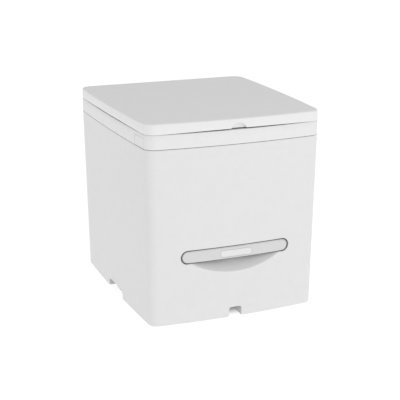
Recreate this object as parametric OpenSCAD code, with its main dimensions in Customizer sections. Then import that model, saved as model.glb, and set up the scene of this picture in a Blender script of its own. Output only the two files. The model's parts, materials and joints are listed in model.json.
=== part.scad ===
// Self-contained composting toilet: a tapered, crowned housing, a hinged seat
// section with a urine diverter, a hinged lid, two bins, a pull-out T handle
// that turns the agitator, and a small vent fan.
// Origin: centre of the footprint on the floor. +Z up, front towards -Y.

/* [Housing] */
// Half width of the housing at its top edge
top_a = 192.3; // [190:0.1:195]
// Half depth of the housing at its top edge
top_b = 214.2; // [212:0.1:218]
// Half width of the housing at the floor
foot_a = 186.6; // [184:0.1:190]
// Half depth of the housing at the floor
foot_b = 209.6; // [207:0.1:212]
// Corner radius at the top
top_r = 23.8; // [20:0.1:28]
// Corner radius at the floor
foot_r = 18.5; // [15:0.1:22]
// How far each side face bows out in its middle
side_bow = 4.2; // [2:0.1:6]
// How far the front face bows out in its middle
front_bow = 8.4; // [5:0.1:10]
// How much wider the back is than the middle, as a fraction
plan_taper = 0.03; // [0:0.005:0.04]
// Wall thickness of the mouldings
wall = 3; // [2.5:0.1:4]

/* [Heights] */
// Lower edge of the housing
shell_z0 = 1.5; // [1:0.1:2]
// Seam between the housing and the seat section
seam_b = 360; // [355:1:365]
// Seam between the seat section and the lid
seam_a = 389.5; // [386:0.5:392]
// Top of the lid
lid_top = 410; // [408:1:412]

/* [Agitator] */
// Height of the agitator axis
drive_z = 140.2; // [138:0.1:142]
// Travel of the pull-out handle
pull = 60; // [50:1:60]
// Half length of the handle bar
bar_hl = 114.6; // [110:0.1:116]
// Half height of the handle bar
bar_hh = 12.9; // [12:0.1:14]

/* [Seat] */
// Radius of the two round ends of the seat opening
open_r = 112; // [105:1:114]
// Distance between the centres of the two round ends
open_l = 74; // [60:1:80]
// Middle of the opening along the depth
open_y = -6; // [-15:1:0]

/* [Hidden] */
$fn = 64;

nc = 9;      // steps round a corner
ns = 12;     // steps along a side
nf = 16;     // steps along the front
hinge_y = top_b - 6.2;   // both hinge axes, 6.2 mm inside the back face
barrel_r = 6;
pin_r = 2.5;
dish_r = 250;  // radius of the finger dish
hx = [80, 95, 125, 140]; // hinge knuckle stations across the width

function mix(p, q, t) = p + (q - p) * t;
function bow(t) = 1 - pow(2 * t - 1, 2);

// Plan outline: half width a, half depth b, corner radius r
function plan(a, b, r) = let (
    ai = a - side_bow - r, f = b - front_bow - r, g = b - r,
    xf = ai * (1 - plan_taper), xb = ai * (1 + plan_taper),
    e = atan2(xb - xf, f + g),
    ds = atan(4 * side_bow / (f + g)), df = atan(2 * front_bow / xf))
  concat(
    [for (i = [1:ns - 1]) let (t = i / ns, k = r + side_bow * bow(t))
      [mix(xf, xb, t) + cos(e) * k, mix(-f, g, t) - sin(e) * k]],
    [for (i = [0:nc]) let (q = mix(-e + ds, 90, i / nc)) [xb + r * cos(q), g + r * sin(q)]],
    [for (i = [0:nc]) let (q = mix(90, 180 + e - ds, i / nc)) [-xb + r * cos(q), g + r * sin(q)]],
    [for (i = [1:ns - 1]) let (t = i / ns, k = r + side_bow * bow(t))
      [-mix(xb, xf, t) - cos(e) * k, mix(g, -f, t) - sin(e) * k]],
    [for (i = [0:nc]) let (q = mix(180 + e + ds, 270 - df, i / nc)) [-xf + r * cos(q), -f + r * sin(q)]],
    [for (i = [1:nf - 1]) let (t = i / nf) [mix(-xf, xf, t), -f - r - front_bow * bow(t)]],
    [for (i = [0:nc]) let (q = mix(270 + df, 360 - e - ds, i / nc)) [xf + r * cos(q), -f + r * sin(q)]]);

// Outline of the drafted housing at height z, set in by o
function body_plan(z, o) = let (t = z / seam_b)
  plan(mix(foot_a, top_a, t) - o, mix(foot_b, top_b, t) - o, mix(foot_r, top_r, t) - o);
// Outline of the upright seat section and lid, set in by o
function cap_plan(o) = plan(top_a - o, top_b - o, top_r - o);

module frustum(z0, p0, z1, p1) {
  n = len(p0);
  polyhedron(
    points = concat([for (p = p0) [p[0], p[1], z0]], [for (p = p1) [p[0], p[1], z1]]),
    faces = concat([[for (i = [0:n - 1]) i]], [[for (i = [n - 1:-1:0]) n + i]],
      [for (i = [0:n - 1]) [i, n + i, n + (i + 1) % n]],
      [for (i = [0:n - 1]) [i, n + (i + 1) % n, (i + 1) % n]]));
}
module slab(z0, z1, p) { translate([0, 0, z0]) linear_extrude(z1 - z0) polygon(p); }
// Cylinder along +Y from y0 to y1
module ycyl(r, y0, y1, x = 0, z = 0) { translate([x, y0, z]) rotate([-90, 0, 0]) cylinder(r = r, h = y1 - y0); }
// Cylinder along +X from x0 to x1
module xcyl(r, x0, x1, y = 0, z = 0) { translate([x0, y, z]) rotate([0, 90, 0]) cylinder(r = r, h = x1 - x0); }
module zcyl(r, z0, z1, x = 0, y = 0) { translate([x, y, z0]) cylinder(r = r, h = z1 - z0); }
module box(x0, x1, y0, y1, z0, z1) { translate([x0, y0, z0]) cube([x1 - x0, y1 - y0, z1 - z0]); }
module sides() { children(); mirror([1, 0, 0]) children(); }
// Slot-shaped prism standing on end: two round ends of radius r along Y
module obround(r, z0, z1) {
  zcyl(r, z0, z1, 0, open_y - open_l / 2);
  zcyl(r, z0, z1, 0, open_y + open_l / 2);
  box(-r, r, open_y - open_l / 2, open_y + open_l / 2, z0, z1);
}
// Slot-shaped prism lying along Y: round ends left and right
module stadium_y(hl, hh, y0, y1, z) {
  ycyl(hh, y0, y1, hl - hh, z);
  ycyl(hh, y0, y1, -hl + hh, z);
  box(-hl + hh, hl - hh, y0, y1, z - hh, z + hh);
}
// Wedge along X seen from the side: a triangle given by three [y, z] points
module wedge(pts, x0, x1) { translate([x0, 0, 0]) rotate([90, 0, 90]) linear_extrude(x1 - x0) polygon(pts); }

// Hand recess behind the handle bar: bar slot plus the round dish below it,
// a sphere that meets the front face in the crescent's outline
module hand_recess(grow, y0, y1) {
  stadium_y(bar_hl + 1.3 + grow, bar_hh + 1.3 + grow, y0, y1, drive_z);
  intersection() {
    translate([0, -360, 300.5]) sphere(r = dish_r + grow, $fn = 192);
    box(-104 - grow, 104 + grow, y0, min(y1, -170), 90, drive_z);
  }
}
// Notch in the lower edge, open downwards: half width w, height h
module notch_y(w, h, r, y0, y1) {
  box(-w, w, y0, y1, -1, h - r);
  box(-w + r, w - r, y0, y1, -1, h);
  ycyl(r, y0, y1, w - r, h - r);
  ycyl(r, y0, y1, -w + r, h - r);
}
module notch_x(w, h, r, x0, x1, y) { translate([0, y, 0]) rotate([0, 0, 90]) notch_y(w, h, r, -x1, -x0); }

screw_pos = [for (s = [-1, 1]) each [[s * 172, -150], [s * 176, -75], [s * 178, 80], [s * 179, 165],
  [s * 95, -198], [s * 100, 202]]];

// Hinge knuckles on both sides of the middle, from station i to station i + 1
module knuckles(ks, z, g, clear) difference() {
  sides() for (k = ks) xcyl(barrel_r, hx[k] + g, hx[k + 1] - g, hinge_y, z);
  sides() xcyl(pin_r + clear, hx[0] - 1, hx[3] + 1, hinge_y, z);
}
// The drafted wall is divided by hairline joints into a front, two sides and a back.
// The front is divided again at the window: above it, below it and its two ends.
joint_f = -184;  // joint between the front and the sides
joint_b = 188;   // joint between the sides and the back
hair = 0.04;
module housing_front() color("whitesmoke") for (zz = [[-5, 98], [98 + hair, 155.5], [155.5 + hair, 400]])
  intersection() { housing_wall(); box(-230, 230, -240, joint_f, zz[0], zz[1]); }
module housing_sides() color("whitesmoke") for (s = [-1, 1])
  intersection() { housing_wall(); box(min(0, s * 230), max(0, s * 230), joint_f + hair, joint_b - hair, -5, 400); }
module housing_back() color("whitesmoke") {
  intersection() { housing_wall(); box(-230, 230, joint_b, 240, -5, 400); }
  knuckles([0, 2], seam_b, 0, 0.04);
}
module housing_wall() difference() {
  union() {
    difference() {
      frustum(shell_z0, body_plan(shell_z0, 0), seam_b - 0.5, body_plan(seam_b - 0.5, 0));
      frustum(shell_z0 - 1, body_plan(shell_z0 - 1, wall), seam_b + 0.5, body_plan(seam_b + 0.5, wall));
    }
    // ledge that carries the rim gasket
    difference() {
      slab(345, 348, body_plan(345, 1.5));
      slab(344, 349, body_plan(345, 18));
    }
    // screw bosses for the base, each tied to the wall by a rib
    intersection() {
      slab(7.2, 26, body_plan(5, 1));
      for (p = screw_pos) {
        zcyl(5, 7, 27, p[0], p[1]);
        if (abs(p[0]) > 150) box(min(p[0], sign(p[0]) * 184), max(p[0], sign(p[0]) * 184), p[1] - 1.2, p[1] + 1.2, 7, 27);
        else box(p[0] - 1.2, p[0] + 1.2, min(p[1], sign(p[1]) * 208), max(p[1], sign(p[1]) * 208), 7, 27);
      }
    }
    // solid beam under the hinge bevel
    intersection() { slab(345, seam_b - 0.5, body_plan(345, 0.5)); box(-157, 157, 201, 220, 340, 360); }
    // feet of the hinge knuckles
    sides() for (k = [0, 2]) box(hx[k], hx[k + 1], hinge_y - 5, top_b - 1, 348, seam_b - 3);
  }
  // window of the hand recess
  hand_recess(0, -230, -190);
  // lower edge notches
  notch_y(13.4, 22.4, 5, -230, -172);
  sides() notch_x(44, 20, 9, -200, -165, 2);
  for (p = screw_pos) zcyl(2, 7, 20, p[0], p[1]);
  // hinge: bore, room for the seat's knuckles, bevel of the back edge
  sides() {
    xcyl(pin_r + 0.04, hx[0] - 1, hx[3] + 1, hinge_y, seam_b);
    xcyl(barrel_r + 0.5, hx[1], hx[2], hinge_y, seam_b);
    wedge([[hinge_y - 0.5, seam_b + 2], [hinge_y - 0.5, seam_b - 0.3], [hinge_y + 12, seam_b - 14.6], [hinge_y + 12, seam_b + 2]], -1, 220);
    // room for the latch arms in the ledge
    box(-179.4, -162, -182, -150, 340, 349);
  }
  // vent port and power inlet
  ycyl(28.3, 200, 220, 90, 215);
  ycyl(34.3, 211.3, 220, 90, 215);
  ycyl(6.3, 200, 220, -90, 215);
  ycyl(9.3, 211.3, 220, -90, 215);
}
// Cup behind the window, with a flange bonded to the inside of the front wall
module hand_recess_cup() color("whitesmoke") difference() {
  union() {
    intersection() {
      hand_recess(2.5, -214, -175);
      frustum(2, body_plan(2, wall + 0.02), 350, body_plan(350, wall + 0.02));
    }
    intersection() {
      hand_recess(9, -214, -195);
      difference() {
        frustum(2, body_plan(2, wall + 0.02), 350, body_plan(350, wall + 0.02));
        frustum(1, body_plan(1, wall + 2.5), 351, body_plan(351, wall + 2.5));
      }
    }
    ycyl(20, -176, -165, 0, drive_z);
  }
  hand_recess(0, -230, -177.5);
  ycyl(15.03, -178, -164, 0, drive_z);
  for (s = [-1, 1]) ycyl(1.5, -172, -164.9, s * 17.5, drive_z);
}
module base_pan() color("lightgray") difference() {
  union() {
    slab(4, 7, body_plan(4, wall + 0.4));
    // cradles under the solids bin
    for (y = [-20, 110]) box(-110, 110, y, y + 5, 7, 60);
    // side stops of the liquids bottle
    sides() { box(153, 156, -150, -90, 7, 40); box(60, 90, -64.4, -62, 7, 30); }
    // pads under the bottle
    sides() box(60, 120, -150, -80, 7, 9.7);
  }
  // room for the pocket liners
  box(-15.65, 15.65, -215, -169.95, 0, 24.65);
  sides() box(-190, -151.45, -44.25, 48.25, 0, 22.45);
  for (y = [-20, 110]) ycyl(128.4, y - 1, y + 6, 0, drive_z, $fn = 128);
  for (p = screw_pos) zcyl(2.3, 3, 8, p[0], p[1]);
  sides() for (y = [-170, 170]) zcyl(4.2, 3, 8, 140, y);
}
// Thin walls round the three pockets in the lower edge
module pocket_liners() color("lightgray") difference() {
  intersection() {
    union() { box(-15.6, 15.6, -212, -170, 2.2, 24.6); sides() box(-190, -151.5, -44.2, 48.2, 2.2, 22.4); }
    slab(2, 25, body_plan(2, wall + 0.35));
  }
  notch_y(13.4, 22.4, 5, -230, -172.2);
  sides() notch_x(44, 20, 9, -200, -154, 2);
  sides() xcyl(2.2, -156, -148, 2, 12);
}
module rubber_feet() color("dimgray") sides() for (y = [-170, 170]) {
  zcyl(14, 0, 3.95, 140, y);
  zcyl(4.1, 3.9, 10, 140, y);
}
module base_screws() color("silver") for (p = screw_pos) {
  zcyl(4, 2, 3.98, p[0], p[1]);
  zcyl(1.95, 3.9, 18, p[0], p[1]);
}
module floor_bracket() difference() {
  union() {
    box(-172, -154.1, -34, 38, 0, 2);
    box(-156.1, -154.1, -34, 38, 0, 17);
  }
  for (y = [-20, 24]) zcyl(2.6, -1, 3, -164, y);
  xcyl(2.2, -158, -150, 2, 12);
}
module floor_bracket_left() color("tan") floor_bracket();
module floor_bracket_right() color("tan") mirror([1, 0, 0]) floor_bracket();
module bracket_thumbscrews() color("gainsboro") sides() {
  xcyl(5, -161, -156.2, 2, 12);
  xcyl(2.1, -157, -146, 2, 12);
}
module drive_bushing() color("dimgray") difference() {
  union() { ycyl(15, -177.4, -165, 0, drive_z); ycyl(21, -164.98, -162, 0, drive_z); ycyl(15, -165.2, -164.5, 0, drive_z); }
  ycyl(11.55, -180, -160, 0, drive_z);
  for (s = [-1, 1]) ycyl(1.6, -165.5, -161, s * 17.5, drive_z);
}
module bushing_screws() color("silver") for (s = [-1, 1]) {
  ycyl(1.45, -171, -161.9, s * 17.5, drive_z);
  ycyl(2.8, -161.98, -160.4, s * 17.5, drive_z);
}
module rim_gasket() color("dimgray") difference() {
  slab(348.05, 351.2, body_plan(348, 5));
  slab(348, 352, body_plan(348, 13));
  sides() box(-185, -162, -184, -148, 347, 353);
  box(-160, 160, 192, 220, 347, 353);
}
module latch_keepers() color("silver") sides() difference() {
  box(-180.1, -179.2, -180, -152, 325, 343);
  xcyl(1.6, -182, -178, -176, 330);
  xcyl(1.6, -182, -178, -156, 330);
}
module keeper_screws() color("gainsboro") sides() for (y = [-176, -156]) {
  xcyl(1.5, -180.5, -179.1, y, 330);
  xcyl(2.8, -179.18, -177.8, y, 330);
}
module seat_hinge_pins() color("silver") sides() xcyl(pin_r, hx[0] + 0.5, hx[3] - 0.5, hinge_y, seam_b);

// ---- bins ----
module liquids_bottle() color("honeydew") difference() {
  union() {
    difference() {
      union() {
        box(-150, 150, -148, -76, 9.8, 262);
        box(-140, 140, -158, -66, 9.8, 262);
        sides() for (y = [-148, -76]) zcyl(10, 9.8, 262, 140, y);
      }
      difference() {
        union() {
          box(-148, 148, -146, -78, 11.8, 260);
          box(-138, 138, -156, -68, 11.8, 260);
          sides() for (y = [-146, -78]) zcyl(10, 11.8, 260, 138, y);
        }
        box(-24, 24, -170, -60, 5, drive_z);
        ycyl(24, -170, -60, 0, drive_z);
      }
    }
    zcyl(24, 261, 282, 0, open_y - 94);
  }
  zcyl(21.8, 250, 290, 0, open_y - 94);
  box(-22, 22, -170, -60, 5, drive_z);
  ycyl(22, -170, -60, 0, drive_z);
}
module bottle_neck_seal() color("dimgray") difference() {
  zcyl(26, 282.05, 285, 0, open_y - 94);
  zcyl(18.5, 280, 290, 0, open_y - 94);
}
module bottle_grip() color("dimgray") sides() difference() {
  union() { box(60, 66, -122, -102, 262.05, 276); box(114, 120, -122, -102, 262.05, 276); box(60, 120, -122, -102, 275, 281); }
  box(66.01, 113.99, -125, -99, 262, 275);
}
module solids_bin() color("darkgray") difference() {
  union() {
    ycyl(128, -58, 158, 0, drive_z, $fn = 128);
    box(-128, 128, -58, 158, drive_z, 268);
    box(-136, 136, -62, 164, 265.5, 268);
  }
  ycyl(125.5, -55.5, 155.5, 0, drive_z, $fn = 128);
  box(-125.5, 125.5, -55.5, 155.5, drive_z, 270);
  ycyl(14.05, -60, -50, 0, drive_z);
  ycyl(14.05, 150, 160, 0, drive_z);
}
module bin_front_seal() color("dimgray") difference() {
  union() { ycyl(14, -62, -52, 0, drive_z); ycyl(20, -55.4, -52, 0, drive_z); }
  ycyl(8.06, -65, -50, 0, drive_z);
}
module bin_rear_bearing() color("silver") difference() {
  union() { ycyl(14, 151.5, 158, 0, drive_z); ycyl(20, 158.05, 161, 0, drive_z); ycyl(14, 157, 158.5, 0, drive_z); }
  ycyl(8.06, 150, 157.5, 0, drive_z);
}
// ---- drive ----
module drive_sleeve() color("silver") difference() {
  ycyl(11.5, -176.8, -84, 0, drive_z);
  ycyl(8.05, -178, -83, 0, drive_z);
}
module sleeve_retaining_ring() color("dimgray") difference() {
  ycyl(16, -158.8, -157, 0, drive_z);
  ycyl(11.53, -160, -156, 0, drive_z);
}
module drive_coupling() color("dimgray") difference() {
  union() { ycyl(17, -96, -76.3, 0, drive_z); }
  ycyl(11.53, -98, -83.95, 0, drive_z);
  box(-4.2, 4.2, -80.5, -75, drive_z - 20, drive_z + 20);
}
module agitator_coupling() color("dimgray") difference() {
  union() {
    ycyl(17, -76, -65, 0, drive_z);
    intersection() { box(-4, 4, -80, -75, drive_z - 20, drive_z + 20); ycyl(17, -81, -70, 0, drive_z); }
  }
  ycyl(8.03, -72, -60, 0, drive_z);
}
module agitator_shaft() color("silver") ycyl(8, -71.9, 156, 0, drive_z);
paddle_y = [-32, 18, 68, 118];
module agitator_paddles() color("white") difference() {
  union() for (i = [0:3]) {
    ycyl(14, paddle_y[i] - 12, paddle_y[i] + 12, 0, drive_z);
    translate([0, paddle_y[i], drive_z]) rotate([0, 90 * i + 20, 0]) {
      box(-5, 5, -5, 5, 10, 112);
      rotate([0, 0, 25]) box(-3, 3, -22, 22, 84, 116);
    }
  }
  ycyl(8.03, -60, 150, 0, drive_z);
}
module handle_bar() color("gainsboro") difference() {
  union() {
    intersection() {
      stadium_y(bar_hl, bar_hh, -216, -199, drive_z);
      translate([0, -211.3 + 1500, 100]) cylinder(r = 1500, h = 80, $fn = 256);
    }
    ycyl(12.5, -199.5, -181, 0, drive_z);
  }
  // hollow grip behind the face
  sides() box(18, 98, -205, -190, drive_z - 9.5, drive_z + 9.5);
  stadium_y(34.2, 7.2, -216, -209.8, drive_z - 1);
  ycyl(8.02, -200, -180, 0, drive_z);
  zcyl(1.6, drive_z, drive_z + 20, 0, -186.5);
}
module handle_inlay() color("white") intersection() {
  stadium_y(34, 7, -216, -209.85, drive_z - 1);
  translate([0, -211.5 + 1500, 100]) cylinder(r = 1500, h = 80, $fn = 256);
}
module handle_shaft() color("silver") ycyl(7.99, -199.9, -86, 0, drive_z);
module handle_set_screw() color("dimgray") zcyl(1.55, drive_z + 8.05, drive_z + 12.3, 0, -186.5);

// ---- air system ----
module vent_port() color("whitesmoke") difference() {
  union() { ycyl(28, 188, 213.6, 90, 215); ycyl(34, 211.6, 213.6, 90, 215); ycyl(37, 188, 190, 90, 215); }
  ycyl(25.2, 187, 215, 90, 215);
  for (a = [45, 135, 225, 315]) ycyl(1.6, 187, 191, 90 + 33 * cos(a), 215 + 33 * sin(a));
}
module fan_housing() color("dimgray") difference() {
  union() { ycyl(37, 172, 187.95, 90, 215); }
  ycyl(29, 171, 189, 90, 215);
  for (a = [45, 135, 225, 315]) ycyl(1.6, 170, 190, 90 + 33 * cos(a), 215 + 33 * sin(a));
}
module fan_motor() color("black") {
  difference() {
    union() {
      ycyl(12, 184, 187.9, 90, 215);
      for (a = [0, 120, 240]) translate([90, 185, 215]) rotate([0, a, 0]) box(11, 28.95, 0, 2.5, -1.5, 1.5);
    }
  }
  ycyl(2.5, 174, 184.5, 90, 215);
}
module fan_impeller() color("dimgray") difference() {
  union() {
    ycyl(11, 174.5, 183.2, 90, 215);
    for (i = [0:6]) translate([90, 178.8, 215]) rotate([0, i * 360 / 7, 0]) rotate([35, 0, 0]) box(10, 27, -5, 5, -0.8, 0.8);
  }
  ycyl(2.56, 173, 184, 90, 215);
}
module fan_grille() color("dimgray") difference() {
  union() {
    difference() { ycyl(37, 170, 171.95, 90, 215); ycyl(29, 169, 173, 90, 215); }
    for (r = [8, 18]) difference() { ycyl(r + 1.2, 170, 171.9, 90, 215); ycyl(r - 1.2, 169, 173, 90, 215); }
    for (a = [0, 60, 120]) translate([90, 170, 215]) rotate([0, a, 0]) box(-30, 30, 0, 1.9, -1, 1);
  }
  for (a = [45, 135, 225, 315]) ycyl(1.6, 169, 173, 90 + 33 * cos(a), 215 + 33 * sin(a));
}
module fan_screws() color("silver") for (a = [45, 135, 225, 315]) ycyl(1.5, 170.1, 190.5, 90 + 33 * cos(a), 215 + 33 * sin(a));
module filter_case() color("white") difference() {
  ycyl(36, 160.5, 169.9, 90, 215);
  ycyl(34, 161.5, 171, 90, 215);
  for (x = [-20:10:20]) box(90 + x - 2.5, 90 + x + 2.5, 160, 162, 195, 235);
}
module filter_carbon() color("black") ycyl(33.9, 161.6, 169.8, 90, 215);
module dc_inlet() color("black") difference() {
  union() { ycyl(6, 198, 213.6, -90, 215); ycyl(9, 211.6, 213.6, -90, 215); }
  ycyl(2.8, 203.6, 214, -90, 215);
}
module dc_inlet_nut() color("silver") difference() {
  ycyl(9, 205.8, 208.6, -90, 215, $fn = 6);
  ycyl(6.05, 205, 209, -90, 215);
}
module dc_contact_pin() color("gold") ycyl(1, 203.65, 212.5, -90, 215);
module control_board() color("darkgreen") difference() {
  union() {
    box(-150, -70, 190, 191.6, 240, 300);
    box(-140, -122, 182, 190.05, 250, 270);
    box(-110, -86, 184, 190.05, 275, 290);
  }
  for (x = [-146, -74], z = [244, 296]) ycyl(1.7, 189, 193, x, z);
}
module board_screws() color("silver") for (x = [-146, -74], z = [244, 296]) {
  ycyl(1.6, 189.95, 209.2, x, z);
  ycyl(3, 188, 189.97, x, z);
  difference() { ycyl(3.4, 191.7, 209.2, x, z); ycyl(1.62, 191, 210, x, z); }
}

// ---- seat section ----
module latch_box(x1, g) { box(-200, x1, -188 - g, -146 + g, seam_b, 381 + g); }
module seat_frame() color("whitesmoke") { seat_band(); knuckles([1], seam_b, 0.4, 0.06); knuckles([0, 2], seam_a, 0, 0.04); }
module seat_band() difference() {
  union() {
    difference() {
      slab(seam_b + 0.5, seam_a - 1.1, cap_plan(0));
      slab(seam_b - 1, 384.4, cap_plan(wall));
    }
    // solid beam along the back, between the two hinge bevels
    intersection() { slab(seam_b + 0.5, 385, cap_plan(0.4)); box(-220, 220, 201, 220, 350, 390); }
    // walls round the opening and behind the latches
    difference() { obround(open_r + 7.5, 366, 385); obround(open_r + 5.5, 360, 390); }
    sides() { box(-183, -168, -191, -188.6, 364.2, 385); box(-184, -168, -145.4, -143, 364.2, 385); box(-170.4, -168, -191, -143, 364.2, 385); box(-183, -168, -190, -144, 381.6, 385); }
    // hinge knuckles: the middle one of the lower hinge, the outer two of the upper
    sides() {
      box(hx[1] + 0.4, hx[2] - 0.4, hinge_y - 8, top_b - 0.5, seam_b + 1, 385);
      for (k = [0, 2]) box(hx[k], hx[k + 1], hinge_y - 8, top_b - 1.5, 372, seam_a - 3);
    }
  }
  obround(open_r + 5.5, 380, 392);
  obround(open_r + 12.3, 386.4, 392);
  sides() {
    latch_box(-170.5, 0.6);
    // bores
    xcyl(pin_r + 0.06, hx[0] - 1, hx[3] + 1, hinge_y, seam_b);
    xcyl(pin_r + 0.04, hx[0] - 1, hx[3] + 1, hinge_y, seam_a);
    // room for the other halves of the hinges
    xcyl(barrel_r + 0.5, hx[0] - 0.4, hx[1] + 0.4, hinge_y, seam_b);
    xcyl(barrel_r + 0.5, hx[2] - 0.4, hx[3] + 0.4, hinge_y, seam_b);
    xcyl(barrel_r + 0.5, hx[1], hx[2], hinge_y, seam_a);
    // bevels of the back edge
    wedge([[hinge_y - 0.8, seam_b - 1], [hinge_y + 12, seam_b - 1], [hinge_y + 12, seam_b + 12.6], [hinge_y - 0.8, seam_b + 0.2]], -1, 220);
    wedge([[hinge_y - 1, seam_a + 2], [hinge_y - 1, seam_a - 0.5], [hinge_y + 12, seam_a - 22.5], [hinge_y + 12, seam_a + 2]], -1, 220);
  }
  // screw holes of the diverter flange
  for (p = div_screws) zcyl(1.6, 377, 387, p[0], p[1]);
}
div_screws = [for (s = [-1, 1]) each [[s * 120.8, -36], [s * 120.8, 26]]];
module seat_underside() color("lightgray") difference() {
  union() {
    difference() { slab(seam_b + 1.5, seam_b + 4, cap_plan(wall + 0.4)); box(-220, 220, 196, 230, 350, 370); }
    // locating lip that drops inside the housing
    difference() {
      slab(352.6, seam_b + 1.6, body_plan(352, wall + 1.6));
      slab(350, seam_b + 1.5, body_plan(352, wall + 4.1));
      box(-220, 220, 190, 230, 345, 361.7);
    }
  }
  obround(open_r + 7.9, 350, 370);
  sides() { box(-195, -167.6, -191.6, -142.4, 350, 366); box(-190, -168, -184, -150, 345, 361.6); }
}
module diverter_bowl() color("white") difference() {
  union() {
    obround(open_r + 12, 386.5, 388.4);
    obround(open_r + 2.5, 320, 388.4);
    // front basin running down to the spout
    translate([0, open_y - 94, 290]) cylinder(r1 = 14.5, r2 = 62, h = 30.01);
    zcyl(14, 276, 291, 0, open_y - 94);
  }
  difference() { obround(open_r, 322.5, 390); box(-130, 130, -240, -45, 300, 322.6); }
  // the back half is open downwards
  difference() { obround(open_r, 310, 330); box(-130, 130, -240, -42.5, 300, 335); }
  // basin and spout bore
  difference() { obround(open_r, 322.5, 390); }
  translate([0, open_y - 94, 292.5]) cylinder(r1 = 12, r2 = 59.5, h = 30.05);
  zcyl(12, 270, 294, 0, open_y - 94);
  for (p = div_screws) zcyl(1.6, 386, 389, p[0], p[1]);
}
module diverter_screws() color("silver") for (p = div_screws) {
  zcyl(1.5, 378, 388.6, p[0], p[1]);
}
module spout_seal() color("dimgray") difference() { zcyl(16.5, 286.6, 290, 0, open_y - 94); translate([0, open_y - 94, 290]) cylinder(r1 = 14.6, r2 = 62, h = 30); zcyl(14.05, 280, 291, 0, open_y - 94); }
module lid_hinge_pins() color("silver") sides() xcyl(pin_r, hx[0] + 0.5, hx[3] - 0.5, hinge_y, seam_a);
module latch_springs() color("silver") sides() { box(-171.1, -170.6, -180, -154, 368, 376); }
module latch_body() {
  intersection() { slab(seam_b + 1, 381, cap_plan(0)); box(-200, -176, -188, -146, seam_b + 1, 381); }
  box(-177.5, -175, -175, -159, 338, seam_b + 2);
  box(-178.9, -176, -175, -159, 338, 341);
}
module latch_left() color("whitesmoke") latch_body();
module latch_right() color("whitesmoke") mirror([1, 0, 0]) latch_body();

// ---- lid ----
module lid_shell() color("whitesmoke") { lid_top_shell(); knuckles([1], seam_a, 0.4, 0.06); }
module lid_top_shell() difference() {
  union() {
    difference() {
      union() {
        slab(seam_a + 1.1, lid_top - 2.6, cap_plan(0.2));
        frustum(lid_top - 2.6, cap_plan(0.2), lid_top - 0.8, cap_plan(1));
        frustum(lid_top - 0.8, cap_plan(1), lid_top, cap_plan(2.8));
      }
      slab(seam_a - 1, lid_top - 3, cap_plan(0.2 + wall));
    }
    // backing of the finger notch
    box(-24, 24, -212, -203, seam_a + 1.1, lid_top - 2);
    // solid beam along the back, above the hinge bevel
    intersection() { slab(seam_a + 1.1, lid_top - 2.8, cap_plan(0.6)); box(-220, 220, 201, 220, 380, 420); }
    sides() box(hx[1] + 0.4, hx[2] - 0.4, hinge_y - 8, top_b - 0.7, seam_a + 1.6, lid_top - 2);
    // bosses for the liner screws
    for (p = liner_screw_pos) zcyl(4, 393.3, lid_top - 2.5, p[0], p[1]);
  }
  // finger notch in the front edge
  ycyl(18, -230, -208.6, 1, 383.2);
  for (p = liner_screw_pos) zcyl(1.6, 390, 404, p[0], p[1]);
  sides() {
    xcyl(pin_r + 0.06, hx[0] - 1, hx[3] + 1, hinge_y, seam_a);
    xcyl(barrel_r + 0.5, hx[0] - 0.4, hx[1] + 0.4, hinge_y, seam_a);
    xcyl(barrel_r + 0.5, hx[2] - 0.4, hx[3] + 0.4, hinge_y, seam_a);
    wedge([[hinge_y - 0.8, seam_a - 1], [hinge_y + 12, seam_a - 1], [hinge_y + 12, seam_a + 12.6], [hinge_y - 0.8, seam_a + 0.2]], -1, 220);
  }
}
liner_screw_pos = [for (s = [-1, 1]) each [[s * 165, -160], [s * 172, 0], [s * 170, 160], [s * 70, -190]]];
module lid_liner() color("lightgray") difference() {
  slab(391.2, 393.2, cap_plan(wall + 0.6));
  box(-220, 220, 196, 230, 380, 400);
  box(-26, 26, -230, -201, 380, 400);
  for (p = liner_screw_pos) zcyl(1.7, 390, 394, p[0], p[1]);
}
module lid_seal() color("dimgray") difference() {
  obround(open_r + 22, 388.8, 391.15);
  obround(open_r + 16, 388, 392);
}
module lid_bumpers() color("dimgray") sides() for (y = [-165, 170]) zcyl(7, 388.7, 391.15, 150, y);
module liner_screws() color("silver") for (p = liner_screw_pos) {
  zcyl(1.5, 390.9, 402, p[0], p[1]);
  zcyl(3, 389.9, 391.15, p[0], p[1]);
}

housing_front();
housing_sides();
housing_back();
hand_recess_cup();
base_pan();
pocket_liners();
rubber_feet();
base_screws();
floor_bracket_left();
floor_bracket_right();
bracket_thumbscrews();
drive_bushing();
bushing_screws();
rim_gasket();
latch_keepers();
keeper_screws();
seat_hinge_pins();
liquids_bottle();
bottle_neck_seal();
bottle_grip();
solids_bin();
bin_front_seal();
bin_rear_bearing();
vent_port();
fan_housing();
fan_motor();
fan_grille();
fan_screws();
filter_case();
filter_carbon();
dc_inlet();
dc_inlet_nut();
dc_contact_pin();
control_board();
board_screws();
drive_sleeve();
sleeve_retaining_ring();
drive_coupling();
agitator_coupling();
agitator_shaft();
agitator_paddles();
handle_bar();
handle_inlay();
handle_shaft();
handle_set_screw();
fan_impeller();
seat_frame();
seat_underside();
diverter_bowl();
diverter_screws();
spout_seal();
lid_hinge_pins();
latch_springs();
latch_left();
latch_right();
lid_shell();
lid_liner();
lid_seal();
lid_bumpers();
liner_screws();
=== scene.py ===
import bpy, bmesh, json, math
import numpy as np
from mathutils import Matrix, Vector
from mathutils.geometry import delaunay_2d_cdt


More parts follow.
